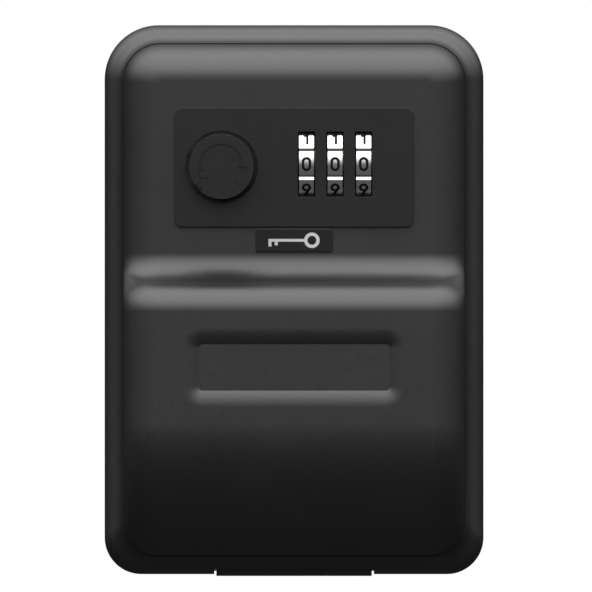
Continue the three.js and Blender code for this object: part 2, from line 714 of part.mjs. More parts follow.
const stackStart = DIAL_X[0] - DIAL_WIDTH / 2;
const stackEnd = DIAL_X[2] + DIAL_WIDTH / 2 + 3.46;
place('dial_spindle', MATERIALS.steel, join(
  rodX(SPINDLE_RADIUS, DIVIDER[0] - 1.9, BODY.halfWidth - 0.85, DIAL_Y, DIAL_Z, 24),
).subtract(ringX(1.5, 3, DIVIDER[0] - 0.8, DIVIDER[0] - 0.1, DIAL_Y, DIAL_Z, 24)));
place('spindle_spacer', MATERIALS.brass, ringX(
  SPINDLE_RADIUS + 0.03,
  3.4,
  DIVIDER[1] + 0.03,
  stackStart - RUN,
  DIAL_Y,
  DIAL_Z,
));
place('spindle_clip', MATERIALS.steel, ringX(
  1.53,
  3.5,
  DIVIDER[0] - 0.75,
  DIVIDER[0] - 0.15,
  DIAL_Y,
  DIAL_Z,
).subtract(block(DIVIDER[0] - 2, DIVIDER[0], DIAL_Y - 1.1, DIAL_Y + 1.1, DIAL_Z - 6, DIAL_Z)));
const spindleCoil = coil(2.75, 0.38, stackEnd + 0.08, BODY.halfWidth - BODY.wall - 0.03, 3, 0, 0);
spindleCoil.rotateZ(-Math.PI / 2);
spindleCoil.translate(0, DIAL_Y, DIAL_Z);
place('spindle_spring', MATERIALS.steel, solidOf(spindleCoil));

// Leaf with one springy finger under each wheel.
const bodyFloor = LOCK_Z - BODY.halfHeight + BODY.wall;
const fingerProfile = [
  [-37.6, bodyFloor + 0.02],
  [-28, bodyFloor + 0.02],
  [-28, bodyFloor + 0.5],
  [-30, bodyFloor + 0.5],
  [-33.6, bodyFloor + 1.55],
  [-35, bodyFloor + 1.7],
  [-36.4, bodyFloor + 1.4],
  [-36.6, bodyFloor + 1.1],
  [-35, bodyFloor + 1.2],
  [-33.6, bodyFloor + 1.05],
  [-31.7, bodyFloor + 0.5],
  [-37.6, bodyFloor + 0.5],
];
place('detent_spring', MATERIALS.steel, join(
  block(0.6, 21.4, -37.6, -28, bodyFloor + 0.02, bodyFloor + 0.45),
  ...DIAL_X.map((x) => profileX(fingerProfile, x - 1.5, 3)),
));

place('lock_back_cover', MATERIALS.zinc, cut(
  slab(
    roundedOutline(
      -BODY.halfWidth,
      BODY.halfWidth,
      LOCK_Z - BODY.halfHeight,
      LOCK_Z + BODY.halfHeight,
      0.8,
    ),
    bodyRear + COVER_THICKNESS,
    COVER_THICKNESS,
    3,
  ),
  rodY(4.62, -30, -20, KNOB.x, KNOB.z, 32),
  rodY(RESET.radius + RUN, -30, -20, RESET.x, RESET.z, 24),
  ...COVER_SCREWS.map(([x, dz]) => rodY(1.1, -30, -20, x, LOCK_Z + dz, 12)),
));
COVER_SCREWS.forEach(([x, dz], i) => {
  const screw = screwY(x, LOCK_Z + dz, bodyRear + COVER_THICKNESS, 1, 1.9, 0.95, 7);
  place(`cover_screw_${i + 1}`, MATERIALS.steel, screw);
});
place('shaft_bush', MATERIALS.brass, turnedY(
  [
    [SHAFT_RADIUS + RUN, -27],
    [5.8, -27],
    [5.8, bodyRear - 0.02],
    [4.6, bodyRear - 0.02],
    [4.6, bodyRear + COVER_THICKNESS],
    [SHAFT_RADIUS + RUN, bodyRear + COVER_THICKNESS],
    [SHAFT_RADIUS + RUN, -27],
  ],
  KNOB.x,
  KNOB.z,
));

// ---------------------------------------------------------------- knob train
place('knob', MATERIALS.plate, turnedY(
  [
    [0, KNOB.face],
    [KNOB.radius - 0.2, KNOB.face],
    [KNOB.radius, KNOB.face + 0.2],
    [KNOB.radius, BODY_FRONT - 0.3],
    [NECK_RADIUS, BODY_FRONT - 0.3],
    [NECK_RADIUS, -38.2],
    [SHAFT_RADIUS + 0.02, -38.2],
    [SHAFT_RADIUS + 0.02, -47],
    [0, -47],
  ],
  KNOB.x,
  KNOB.z,
  40,
));
const camRear = CAM.front + CAM.thickness;
const square = CAM.square / 2;
const shaftEnd = block(
  KNOB.x - square + 0.02,
  KNOB.x + square - 0.02,
  CAM.front - 1,
  camRear - 0.1,
  KNOB.z - square + 0.02,
  KNOB.z + square - 0.02,
);
place('knob_shaft', MATERIALS.steel, join(
  rodY(SHAFT_RADIUS, -46.95, CAM.front, KNOB.x, KNOB.z, 24),
  shaftEnd,
  rodY(2.2, CAM.front, camRear + 2.8, KNOB.x, KNOB.z, 16),
));
place('drive_cam', MATERIALS.steel, cut(
  rodY(6.4, -37.9, -36.2, KNOB.x - 1.4, KNOB.z, 32),
  rodY(SHAFT_RADIUS + 0.02, -39, -35, KNOB.x, KNOB.z, 24),
));
place('cam_spacer', MATERIALS.brass, ringY(
  SHAFT_RADIUS + 0.02,
  5.2,
  bodyRear + COVER_THICKNESS + RUN,
  CAM.front - 0.02,
  KNOB.x,
  KNOB.z,
));
const camShape = new THREE.Shape();
camShape.absarc(KNOB.x, KNOB.z, 7, Math.PI * 0.25, Math.PI * 1.75);
camShape.absarc(KNOB.x + CAM.reach - CAM.width / 2, KNOB.z, CAM.width / 2, -Math.PI / 2, Math.PI / 2);
camShape.closePath();
place('latch_cam', MATERIALS.steel, cut(
  slab(camShape, camRear, CAM.thickness, 12),
  block(
    KNOB.x - square,
    KNOB.x + square,
    CAM.front - 1,
    camRear + 1,
    KNOB.z - square,
    KNOB.z + square,
  ),
));
place('cam_nut', MATERIALS.steel, cut(
  rodY(4.3, camRear + 0.02, camRear + 2.2, KNOB.x, KNOB.z, 6),
  rodY(2.22, camRear - 1, camRear + 4, KNOB.x, KNOB.z, 16),
));

// Fence: a bar under the wheels with a tooth for each code disc and a tab driven by the cam.
const fenceTeeth = DIAL_X.map((x) => (
  block(x + 2.2, x + 3.1, FENCE.y0, FENCE.y1, FENCE.z0, 29.3)
));
place('fence_bar', MATERIALS.brass, join(
  block(-13.6, 22, FENCE.y0, FENCE.y1, FENCE.z0, FENCE.z1),
  block(-13.6, -12, FENCE.y0, -36.3, FENCE.z0, 36.5),
  ...fenceTeeth,
));

// Code reset button, pressed from inside the open door, with its return spring.
place('reset_button', MATERIALS.red, turnedY(
  [
    [0, bodyRear - 1.8],
    [2.7, bodyRear - 1.8],
    [2.7, bodyRear - 0.05],
    [RESET.radius, bodyRear - 0.05],
    [RESET.radius, bodyRear + COVER_THICKNESS + RESET.travel],
    [0, bodyRear + COVER_THICKNESS + RESET.travel],
  ],
  RESET.x,
  RESET.z,
));
place('reset_spring', MATERIALS.steel, solidOf(
  coil(1.7, 0.26, -31.15, bodyRear - 1.85 - RESET.travel, 3, RESET.x, RESET.z),
));

export default assembly;
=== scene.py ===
import math

import bmesh
import bpy
from mathutils import Matrix, Vector


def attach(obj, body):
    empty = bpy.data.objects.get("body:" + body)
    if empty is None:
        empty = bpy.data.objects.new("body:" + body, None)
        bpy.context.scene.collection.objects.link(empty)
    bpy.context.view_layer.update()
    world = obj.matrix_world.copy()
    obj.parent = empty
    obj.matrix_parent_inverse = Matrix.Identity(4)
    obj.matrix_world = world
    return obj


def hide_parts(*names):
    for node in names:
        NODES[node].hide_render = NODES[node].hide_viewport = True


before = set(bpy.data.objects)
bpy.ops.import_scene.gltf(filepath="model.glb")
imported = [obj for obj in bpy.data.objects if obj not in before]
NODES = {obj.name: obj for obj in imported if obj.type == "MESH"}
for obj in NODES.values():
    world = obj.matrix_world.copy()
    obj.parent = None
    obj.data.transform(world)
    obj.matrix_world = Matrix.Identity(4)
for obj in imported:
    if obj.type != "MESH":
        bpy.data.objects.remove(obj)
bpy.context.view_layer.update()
MM = 0.001
SCENE = bpy.context.scene

# ------------------------------------------------------------------ dimensions, mm
DOOR_W, DOOR_H = 98.0, 142.0
TOP_R, LOW_R = 14.0, 9.5
SKIN = 2.4
DOOR_REAR = 22.4
RIM_R, RIM_TURN = 5.1, math.radians(58)
CREASE_IN = 2 * RIM_R * (1 - math.cos(RIM_TURN))
CREASE_Y = 32.7
EDGE_R = 9.5
FLAT_IN = CREASE_IN + EDGE_R
FLAT_R = 1.2
UPPER_Y = 42.4
LEDGE_R = 7.5
LEDGE_TOP = 12.0
LEDGE_FOOT = LEDGE_TOP - 2 * LEDGE_R
BELLY_Y = UPPER_Y + 2 * LEDGE_R
BELLY_R, BELLY_FOOT = 42.0, -31.8
LEDGE_STEEP, LEDGE_SOFT, LEDGE_REACH = 90.0, 61.0, 9.5
GROOVE_W, GROOVE_Y = 0.3, 31.9
LABEL_Z, LABEL_W, LABEL_H, LABEL_WALL, LABEL_WALL_R = -17.4, 49.1, 11.9, 4.2, 11.2
HINGE_Y, HINGE_Z = -22.6, -69.3
LUG_HALF, NOTCH_HALF = 20.1, 20.65
LOCK_Z = 34.1
KNOB_X, KNOB_Z, KNOB_R, KNOB_FACE = -18.7, 34.2, 8.35, -50.3
DIAL_X = (3.2, 10.56, 17.92)
DIAL_Y, DIAL_Z, DIAL_R, DIAL_W = -34.9, 34.9, 11.1, 3.85
DIAL_LAND, DIAL_GROOVE = 14.4, 10.6
SLOT_W, SLOT_H = 4.4, 16.8
CASE_HALF, CASE_TOP, CASE_LOW, CASE_FRONT, CASE_FLOOR = 48.2, 70.2, -69.4, -22, -3
CASE_WALL, CASE_TOP_R, CASE_LOW_R = 2.4, 13.2, 8.7
WALL_HOLE_X, WALL_HOLE_Z = 30, 50
HOOK_SCREW_X, HOOK_SCREW_Z = 18, 14
SEAL_OUT, SEAL_IN, SEAL_LOW = 0.75, 1.65, -58
PLATE_HALF_W, PLATE_HALF_H, PLATE_T = 30.75, 15.3, 1.0
KNOB_HOLE, KNOB_NECK, KNOB_NECK_END, SHAFT_HOLE = 9.3, 4.6, -38.2, 3.52
BADGE_T = 0.55
RESET_X, RESET_Z = 24.6, 28


# ------------------------------------------------------------------ mesh building
def mesh_object(name, verts, faces):
    mesh = bpy.data.meshes.new(name)
    mesh.from_pydata([tuple(v) for v in verts], [], faces)
    mesh.validate()
    bm = bmesh.new()
    bm.from_mesh(mesh)
    bmesh.ops.remove_doubles(bm, verts=bm.verts, dist=1e-4)
    bmesh.ops.dissolve_degenerate(bm, edges=bm.edges, dist=1e-5)
    bmesh.ops.recalc_face_normals(bm, faces=bm.faces)
    bm.to_mesh(mesh)
    bm.free()
    obj = bpy.data.objects.new(name, mesh)
    SCENE.collection.objects.link(obj)
    return obj


def applied(obj):
    """Replaces an object's mesh by what its modifiers make of it."""
    graph = bpy.context.evaluated_depsgraph_get()
    mesh = bpy.data.meshes.new_from_object(obj.evaluated_get(graph))
    obj.modifiers.clear()
    old = obj.data
    obj.data = mesh
    bpy.data.meshes.remove(old)
    return obj


def combine(obj, tools, operation):
    for tool in tools:
        mod = obj.modifiers.new("cut", "BOOLEAN")
        mod.operation = operation
        mod.solver = "EXACT"
        mod.object = tool
    applied(obj)
    for tool in tools:
        bpy.data.objects.remove(tool)
    return obj


def cut(obj, *tools):
    return combine(obj, tools, "DIFFERENCE")


def join(obj, *tools):
    return combine(obj, tools, "UNION")


def rounded(x0, x1, z0, z1, low, high=None, steps=10):
    """Outline of a rectangle with rounded corners, counter-clockwise."""
    high = low if high is None else high
    corners = (
        (x0 + low, z0 + low, low, 180),
        (x1 - low, z0 + low, low, 270),
        (x1 - high, z1 - high, high, 0),
        (x0 + high, z1 - high, high, 90),
    )
    points = []
    for cx, cz, r, start in corners:
        for i in range(steps + 1):
            a = math.radians(start + 90 * i / steps)
            points.append((cx + r * math.cos(a), cz + r * math.sin(a)))
    return points


def prism(name, outline, y0, y1):
    """Outline in x and z, thickened from y0 to y1."""
    n = len(outline)
    verts = [(x, y, z) for y in (y0, y1) for x, z in outline]
    faces = [tuple(range(n)), tuple(range(2 * n - 1, n - 1, -1))]
    faces += [(i, (i + 1) % n, n + (i + 1) % n, n + i) for i in range(n)]
    return mesh_object(name, verts, faces)


def box(name, x0, x1, y0, y1, z0, z1):
    return prism(name, [(x0, z0), (x1, z0), (x1, z1), (x0, z1)], y0, y1)


def lathe(name, profile, centre, axis="Y", sides=64):
    """Turned solid. profile holds (radius, place along the axis) pairs, open ends on the axis."""
    ring = profile[0][0] > 1e-6
    verts, faces = [], []
    n = len(profile)
    for s in range(sides):
        a = 2 * math.pi * s / sides
        for r, t in profile:
            u, v = r * math.cos(a), r * math.sin(a)
            spot = {"X": (t, u, v), "Y": (u, t, v), "Z": (u, v, t)}[axis]
            verts.append(Vector(spot) + Vector(centre))
    last = n if ring else n - 1
    for s in range(sides):
        for i in range(last):
            j = (i + 1) % n
            a, b = s * n, ((s + 1) % sides) * n
            faces.append((a + i, a + j, b + j, b + i))
    return mesh_object(name, verts, faces)


def rod(name, r, t0, t1, centre, axis="Y", sides=48):
    return lathe(name, [(0, t0), (r, t0), (r, t1), (0, t1)], centre, axis, sides)


def soften(obj, width, segments=2, angle=35):
    mod = obj.modifiers.new("soften", "BEVEL")
    mod.width = width
    mod.segments = segments
    mod.limit_method = "ANGLE"
    mod.angle_limit = math.radians(angle)
    mod.use_clamp_overlap = True
    return mod


def settle(
    obj, body, material, width=0.0, stands_for=(), sharp=28, segments=2, weighted=True,
):
    """Edge-breaks a piece built in mm, brings it to metres and hands it to its body."""
    if width:
        soften(obj, width, segments)
        applied(obj)
    obj.data.transform(Matrix.Scale(MM, 4))
    obj.data.update()
    obj.data.shade_smooth()
    obj.data.set_sharp_from_angle(angle=math.radians(sharp))
    if weighted:
        mod = obj.modifiers.new("normals", "WEIGHTED_NORMAL")
        mod.keep_sharp = True
        mod.weight = 80
    obj.data.materials.clear()
    obj.data.materials.append(material)
    if stands_for:
        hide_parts(*stands_for)
    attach(obj, body)
    return obj


# ------------------------------------------------------------------ materials
def node_material(name):
    mat = bpy.data.materials.new(name)
    mat.use_nodes = True
    tree = mat.node_tree
    tree.nodes.clear()
    out = tree.nodes.new("ShaderNodeOutputMaterial")
    shader = tree.nodes.new("ShaderNodeBsdfPrincipled")
    tree.links.new(shader.outputs["BSDF"], out.inputs["Surface"])
    coords = tree.nodes.new("ShaderNodeTexCoord")
    return mat, tree, shader, coords.outputs["Object"]


def noise(tree, source, scale, detail=3.0, stretch=None):
    if stretch:
        mapping = tree.nodes.new("ShaderNodeMapping")
        mapping.inputs["Scale"].default_value = stretch
        tree.links.new(source, mapping.inputs["Vector"])
        source = mapping.outputs["Vector"]
    tex = tree.nodes.new("ShaderNodeTexNoise")
    tex.inputs["Scale"].default_value = scale
    tex.inputs["Detail"].default_value = detail
    tree.links.new(source, tex.inputs["Vector"])
    return tex.outputs["Fac"]


def spread(tree, value, low, high):
    node = tree.nodes.new("ShaderNodeMapRange")
    node.inputs["From Min"].default_value = 0.3
    node.inputs["From Max"].default_value = 0.7
    node.inputs["To Min"].default_value = low
    node.inputs["To Max"].default_value = high
    tree.links.new(value, node.inputs["Value"])
    return node.outputs["Result"]


def tint(tree, value, dark, light):
    node = tree.nodes.new("ShaderNodeMix")
    node.data_type = "RGBA"
    node.inputs["A"].default_value = (*dark, 1)
    node.inputs["B"].default_value = (*light, 1)
    tree.links.new(value, node.inputs["Factor"])
    return node.outputs["Result"]


def bump(tree, shader, heights):
    """Chains (height output, strength, distance in metres) into the shader's normal."""
    previous = None
    for height, strength, distance in heights:
        node = tree.nodes.new("ShaderNodeBump")
        node.inputs["Strength"].default_value = strength
        node.inputs["Distance"].default_value = distance
        tree.links.new(height, node.inputs["Height"])
        if previous:
            tree.links.new(previous, node.inputs["Normal"])
        previous = node.outputs["Normal"]
    tree.links.new(previous, shader.inputs["Normal"])


def moulded(name, dark, light, rough, grain, depth, gloss=0.5):
    """Moulded or painted surface: spark-eroded grain, faint cloudiness, varying gloss."""
    mat, tree, shader, source = node_material(name)
    shader.inputs["Specular IOR Level"].default_value = gloss
    cloud = noise(tree, source, 60, 4)
    fine = noise(tree, source, grain, 2)
    coarse = noise(tree, source, grain * 0.35, 3)
    tree.links.new(tint(tree, spread(tree, cloud, 0, 1), dark, light), shader.inputs["Base Color"])
    tree.links.new(spread(tree, coarse, *rough), shader.inputs["Roughness"])
    bump(tree, shader, [(coarse, 0.25, depth * 1.5), (fine, 0.3, depth)])
    return mat


def metal(name, dark, light, rough, stretch, scale=900, depth=2e-6):
    """Metal with drawn or brushed lines along the axis that stretch flattens."""
    mat, tree, shader, source = node_material(name)
    shader.inputs["Metallic"].default_value = 1.0
    lines = noise(tree, source, scale, 4, stretch)
    cloud = noise(tree, source, 90, 3)
    tree.links.new(tint(tree, spread(tree, cloud, 0, 1), dark, light), shader.inputs["Base Color"])
    tree.links.new(spread(tree, lines, *rough), shader.inputs["Roughness"])
    bump(tree, shader, [(lines, 0.25, depth)])
    return mat


SHELL = moulded(
    "shell_plastic_black", (0.003, 0.003, 0.0032), (0.0046, 0.0046, 0.0049), (0.37, 0.43), 3400, 4e-6,
)
PAINT = moulded(
    "lock_black_paint", (0.002, 0.002, 0.0022), (0.003, 0.003, 0.0032), (0.26, 0.31), 5200, 2e-6,
)
BADGE = moulded(
    "badge_black", (0.0016, 0.0016, 0.0017), (0.0024, 0.0024, 0.0025), (0.22, 0.27), 6000, 1e-6,
)
PRINT = moulded("badge_print", (0.3, 0.3, 0.3), (0.36, 0.36, 0.36), (0.5, 0.6), 5000, 1e-6, 0.2)
INK = moulded(
    "digit_ink", (0.003, 0.003, 0.003), (0.005, 0.005, 0.005), (0.5, 0.6), 5000, 1e-6, 0.05,
)
CHROME = metal(
    "dial_chrome", (0.5, 0.5, 0.505), (0.56, 0.56, 0.565), (0.17, 0.23), (0.06, 1, 1), 2600, 4e-7,
)
STEEL = metal(
    "zinc_plated_steel", (0.5, 0.51, 0.53), (0.62, 0.63, 0.65), (0.28, 0.42), (1, 1, 0.08),
)
TURNED = metal("turned_steel", (0.5, 0.5, 0.52), (0.64, 0.64, 0.66), (0.22, 0.34), (0.08, 1, 1))
BRASS = metal("turned_brass", (0.62, 0.43, 0.17), (0.76, 0.55, 0.25), (0.24, 0.36), (0.1, 1, 1))
CAST = metal(
    "die_cast_zinc", (0.3, 0.3, 0.31), (0.42, 0.42, 0.43), (0.42, 0.6), (1, 1, 1), 1300, 1.2e-5,
)
RUBBER = moulded(
    "seal_rubber", (0.012, 0.012, 0.012), (0.022, 0.022, 0.022), (0.75, 0.9), 2600, 8e-6,
)
RED = moulded("reset_red", (0.38, 0.015, 0.01), (0.5, 0.03, 0.02), (0.3, 0.4), 3000, 3e-6)


# ------------------------------------------------------------------ door shell
# Steps round a corner, the raised field's edge, the rim and each fillet of the ledge.
CORNER, EDGE, RIM, LEDGE = 20, 18, 12, 18
FOOT_STEPS, LABEL_STEPS = 12, 12
FIELD_ROWS = [18, 26, 34, 42, 50]


def mix(t, a, b):
    return a + (b - a) * t


def arc(cx, cz, r, a0, a1, steps=28):
    turns = [math.radians(mix(i / steps, a0, a1)) for i in range(steps + 1)]
    return [(cx + r * math.cos(a), cz + r * math.sin(a)) for a in turns]


def closest(values, wanted):
    return min(range(len(values)), key=lambda i: abs(values[i] - wanted))


def low_corner(inset):
    if inset < CREASE_IN:
        return LOW_R - 0.4 * inset / CREASE_IN
    return mix((inset - CREASE_IN) / EDGE_R, LOW_R - 0.4, FLAT_R)


def high_corner(inset):
    return mix(inset / FLAT_IN, TOP_R, FLAT_R)


def front_depth(z, skin):
    middle = UPPER_Y + LEDGE_R
    if z >= LEDGE_TOP:
        return UPPER_Y - skin
    if z >= LEDGE_TOP - LEDGE_R - skin:
        return middle - math.sqrt((LEDGE_R + skin) ** 2 - (LEDGE_TOP - z) ** 2)
    if z >= LEDGE_FOOT:
        return middle + math.sqrt(max(0.0, (LEDGE_R - skin) ** 2 - (z - LEDGE_FOOT) ** 2))
    if z >= BELLY_FOOT:
        return BELLY_Y - skin
    return BELLY_Y - BELLY_R + math.sqrt((BELLY_R - skin) ** 2 - (z - BELLY_FOOT) ** 2)


FLAT_TOP = DOOR_H / 2 - FLAT_IN - FLAT_R
FLAT_LOW = -DOOR_H / 2 + FLAT_IN + FLAT_R


def side_rows(skin):
    rows = [
        FLAT_LOW + (BELLY_FOOT - FLAT_LOW) * i / FOOT_STEPS for i in range(1, FOOT_STEPS)
    ]
    rows += [BELLY_FOOT, LEDGE_FOOT]
    for i in range(1, LEDGE):
        rows.append(LEDGE_FOOT + (LEDGE_R - skin) * math.cos((1 - i / LEDGE) * math.pi / 2))
    rows.append(LEDGE_TOP - LEDGE_R - skin)
    for i in range(1, LEDGE + 1):
        rows.append(LEDGE_TOP - (LEDGE_R + skin) * math.sin((1 - i / LEDGE) * math.pi / 2))
    return rows + FIELD_ROWS


def ledge_height(z, inset, skin):
    """Height of a ledge row. The step is upright across the face and leans back at its ends."""
    if not LEDGE_FOOT < z < LEDGE_TOP:
        return z
    reach = min(max(FLAT_IN - inset, 0) / LEDGE_REACH, 1)
    turn = math.radians(mix(reach * reach * (3 - 2 * reach), LEDGE_STEEP, LEDGE_SOFT))
    side, drop = math.sin(turn), 1 - math.cos(turn)
    radius = LEDGE_R * (side - 1 + drop) / drop
    ramp = 2 * LEDGE_R * (side - drop) / drop
    hollow, round_ = radius + skin, radius - skin
    depth = front_depth(z, skin) - UPPER_Y + skin
    if depth <= hollow * drop:
        return LEDGE_TOP - hollow * math.sin(math.acos(1 - depth / hollow))
    left = 2 * LEDGE_R - depth
    if left <= round_ * drop:
        return LEDGE_FOOT + round_ * math.sin(math.acos(1 - left / round_))
    return LEDGE_TOP - hollow * side - (depth - hollow * drop) / max(side, 1e-6) * (1 - drop)


def door_loop(inset, skin, depth_at):
    half_w, half_h = DOOR_W / 2 - inset, DOOR_H / 2 - inset
    low, high = low_corner(inset), high_corner(inset)
    left = []
    for i in range(CORNER + 1):
        a = math.pi / 2 * i / CORNER
        z = -half_h + low - low * math.cos(a)
        left.append((-half_w + low - low * math.sin(a), -depth_at(z), z))
    for z in side_rows(skin):
        left.append((-half_w, -depth_at(z), ledge_height(z, inset, skin)))
    for i in range(CORNER + 1):
        a = math.pi / 2 * i / CORNER
        z = half_h - high + high * math.sin(a)
        left.append((-half_w + high - high * math.cos(a), -depth_at(z), z))
    return left + [(-x, y, z) for x, y, z in reversed(left)]


def edge_loop(turn, skin):
    radius = EDGE_R - skin

    def depth_at(z):
        depth = front_depth(z, skin)
        return depth - min(radius, depth - CREASE_Y - 0.2) * (1 - math.cos(turn))

    return door_loop(FLAT_IN - radius * math.sin(turn), skin, depth_at)


def door_skin(skin):
    foot = math.pi / 2 if skin else math.asin(1 - GROOVE_W / EDGE_R)
    loops = [edge_loop(foot * i / EDGE, skin) for i in range(EDGE + 1)]
    if not skin:
        for inset in (CREASE_IN + GROOVE_W, CREASE_IN + 0.05):
            loops.append(door_loop(inset, 0, lambda z: GROOVE_Y))
    outer, inner = RIM_R + skin, RIM_R - skin
    for i in range(RIM + 1):
        turn = RIM_TURN * i / RIM
        depth = CREASE_Y - outer * math.sin(turn)
        loops.append(door_loop(CREASE_IN - RIM_R + outer * math.cos(turn), skin, lambda z: depth))
    rim_foot = CREASE_Y - 2 * RIM_R * math.sin(RIM_TURN)
    for i in reversed(range(RIM)):
        turn = RIM_TURN * i / RIM
        depth = rim_foot + inner * math.sin(turn)
        loops.append(door_loop(RIM_R - inner * math.cos(turn), skin, lambda z: depth))
    loops.append(door_loop(skin, skin, lambda z: DOOR_REAR))
    return loops


def field_faces(verts, faces, ring, hole, flip):
    """Fills between a rectangle's boundary and a rounded hole loop, both listed from low left.

    ring holds four runs of vertex numbers: bottom, right, top, left, each from corner to corner.
    """
    quarter = len(hole) // 4
    arcs = [hole[i * quarter:(i + 1) * quarter] for i in range(4)]
    made = []
    for i in range(4):
        corner = ring[i][0]
        arc = arcs[i]
        made += [(corner, arc[j + 1], arc[j]) for j in range(quarter - 1)]
        made.append((*ring[i], arcs[(i + 1) % 4][0], arc[-1]))
    faces += [tuple(reversed(f)) for f in made] if flip else made


def label_loop(grow, y):
    outline = rounded(
        -LABEL_W / 2 - grow, LABEL_W / 2 + grow,
        LABEL_Z - LABEL_H / 2 - grow, LABEL_Z + LABEL_H / 2 + grow, 1 + grow, steps=8,
    )
    return [(x, y, z) for x, z in outline]


def build_door():
    verts, faces = [], []
    opening = rounded(-29.3, 29.3, LOCK_Z - 14.3, LOCK_Z + 14.3, 1.0, steps=6)
    hole_rings, rear_rings = [], []
    for skin in (0.0, SKIN):
        loops = door_skin(skin)
        base, n = len(verts), len(loops[0])
        verts += [p for loop in loops for p in loop]
        for k in range(len(loops) - 1):
            for i in range(n):
                j = (i + 1) % n
                a, b = base + k * n, base + (k + 1) * n
                faces.append((a + i, a + j, b + j, b + i))
        rear_rings.append([base + (len(loops) - 1) * n + i for i in range(n)])
        rows = n // 2
        heights = [loops[0][i][2] for i in range(rows)]
        foot, shelf = closest(heights, BELLY_FOOT), closest(heights, LEDGE_FOOT)
        ledge_top = closest(heights, LEDGE_TOP)
        flat_top = rows - 1 - CORNER
        for i in range(rows - 1):
            if ledge_top <= i < flat_top or (skin == 0 and foot <= i < shelf):
                continue
            left, right = base + i, base + n - 1 - i
            faces.append((left, right, right - 1, left + 1))
        start = len(verts)
        verts += [(x, -UPPER_Y + skin, z) for x, z in opening]
        hole = list(range(start, len(verts)))
        hole_rings.append(hole)
        sides = [base + i for i in range(ledge_top, flat_top + 1)]
        mirror = [base + n - 1 - i for i in range(ledge_top, flat_top + 1)]
        ring = [
            (sides[0], mirror[0]), tuple(mirror), (mirror[-1], sides[-1]), tuple(reversed(sides)),
        ]
        field_faces(verts, faces, ring, hole, skin > 0)
        if skin:
            continue
        previous = None
        for k in range(LABEL_STEPS + 1):
            grow = LABEL_WALL * (1 - k / LABEL_STEPS)
            rise = LABEL_WALL_R - math.sqrt(LABEL_WALL_R ** 2 - (LABEL_WALL - grow) ** 2)
            start = len(verts)
            verts += label_loop(grow, -BELLY_Y + rise)
            loop = list(range(start, len(verts)))
            if previous is None:
                low_l, low_r = base + foot, base + n - 1 - foot
                top_l, top_r = base + shelf, base + n - 1 - shelf
                ring = [(low_l, low_r), (low_r, top_r), (top_r, top_l), (top_l, low_l)]
                field_faces(verts, faces, ring, loop, False)
            else:
                m = len(loop)
                for i in range(m):
                    j = (i + 1) % m
                    faces.append((previous[i], previous[j], loop[j], loop[i]))
            previous = loop
        faces.append(tuple(previous))
    for outer, inner in (hole_rings, rear_rings):
        m = len(outer)
        faces += [(outer[i], outer[(i + 1) % m], inner[(i + 1) % m], inner[i]) for i in range(m)]
    door = mesh_object("door_moulding", verts, faces)
    cut(
        door,
        box("t", -NOTCH_HALF, NOTCH_HALF, -50, -20, -75, HINGE_Z - 0.2),
        rod("t", 2.6, -NOTCH_HALF, NOTCH_HALF, (0, HINGE_Y, HINGE_Z), "X", 64),
    )
    for side in (-1, 1):
        ends = sorted((side * NOTCH_HALF, side * 26.5))
        join(door, rod("t", 1.5, ends[0], ends[1], (0, HINGE_Y, HINGE_Z), "X", 40))
    cut(door, rod("t", 0.95, -26.1, 26.1, (0, HINGE_Y, HINGE_Z), "X", 32))
    return door


settle(build_door(), "door", SHELL, stands_for=["door_shell"], sharp=17)


# ------------------------------------------------------------------ wall case
def seal_outline(grow, steps=14):
    outer, inner = CASE_HALF - SEAL_OUT + grow, CASE_HALF - SEAL_IN - grow
    top, low = CASE_TOP - SEAL_OUT + grow, SEAL_LOW - grow
    r_out, r_in = CASE_TOP_R - SEAL_OUT + grow, CASE_TOP_R - SEAL_IN - grow
    cx, cz = outer - r_out, top - r_out
    points = [(-outer, low), (-inner, low)]
    points += arc(-cx, cz, r_in, 180, 90, steps) + arc(cx, cz, r_in, 90, 0, steps)
    points += [(inner, low), (outer, low)]
    return points + arc(cx, cz, r_out, 0, 90, steps) + arc(-cx, cz, r_out, 90, 180, steps)


case = prism(
    "wall_case",
    rounded(-CASE_HALF, CASE_HALF, CASE_LOW, CASE_TOP, CASE_LOW_R, CASE_TOP_R, 16), CASE_FRONT, 0,
)
hollow = CASE_HALF - CASE_WALL
wall_holes = [(x, 0, z) for x in (-WALL_HOLE_X, WALL_HOLE_X) for z in (-WALL_HOLE_Z, WALL_HOLE_Z)]
cut(
    case,
    prism(
        "t", rounded(
            -hollow, hollow, CASE_LOW + 3.2, CASE_TOP - CASE_WALL,
            CASE_LOW_R - CASE_WALL, CASE_TOP_R - CASE_WALL, 16,
        ), CASE_FRONT - 2, CASE_FLOOR,
    ),
    prism("t", seal_outline(0.02), CASE_FRONT - 1, CASE_FRONT + 1),
    rod("t", 2.5, -49.5, 49.5, (0, HINGE_Y, HINGE_Z), "X", 64),
    *[rod("t", 2.5, -4, 1, place) for place in wall_holes],
    *[rod("t", 4.4, -3.6, -2.2, place) for place in wall_holes],
    *[rod("t", 1.36, -4, -0.8, (x, 0, HOOK_SCREW_Z)) for x in (-HOOK_SCREW_X, HOOK_SCREW_X)],
)
join(
    case,
    rod("t", 2.2, -LUG_HALF, LUG_HALF, (0, HINGE_Y, HINGE_Z), "X", 64),
    box("t", -LUG_HALF, LUG_HALF, HINGE_Y, -19, CASE_LOW, HINGE_Z + 2.2),
)
cut(case, rod("t", 0.92, -LUG_HALF - 1, LUG_HALF + 1, (0, HINGE_Y, HINGE_Z), "X", 32))
settle(case, "case", SHELL, 0.25, ["back_case"], segments=3)

